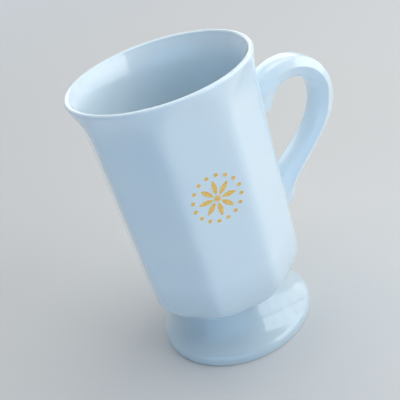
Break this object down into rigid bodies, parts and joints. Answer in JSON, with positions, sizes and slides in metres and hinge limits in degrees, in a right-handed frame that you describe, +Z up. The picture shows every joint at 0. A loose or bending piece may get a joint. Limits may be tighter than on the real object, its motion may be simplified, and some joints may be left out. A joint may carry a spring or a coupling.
{
  "type": "footed cup",
  "caption": "Tall footed porcelain cup for cappuccino: faceted bowl with a round flared lip, hollow domed foot, looped strap handle and a small gilt rosette.",
  "frame": {"origin": "on the cup's axis, in the plane that the foot ring stands on", "axes": "+Z up along the cup's axis, +X out through the handle, -Y out through the panel with the gilt rosette"},
  "size_m": [0.1114, 0.08, 0.1315],
  "materials": {
    "porcelain": "clear gloss glaze over cool white porcelain",
    "gilding": "satin fired gold lustre"
  },
  "bodies": {
    "root": {"cup": "porcelain", "gilt_motif": "gilding"}
  },
  "joints": []
}
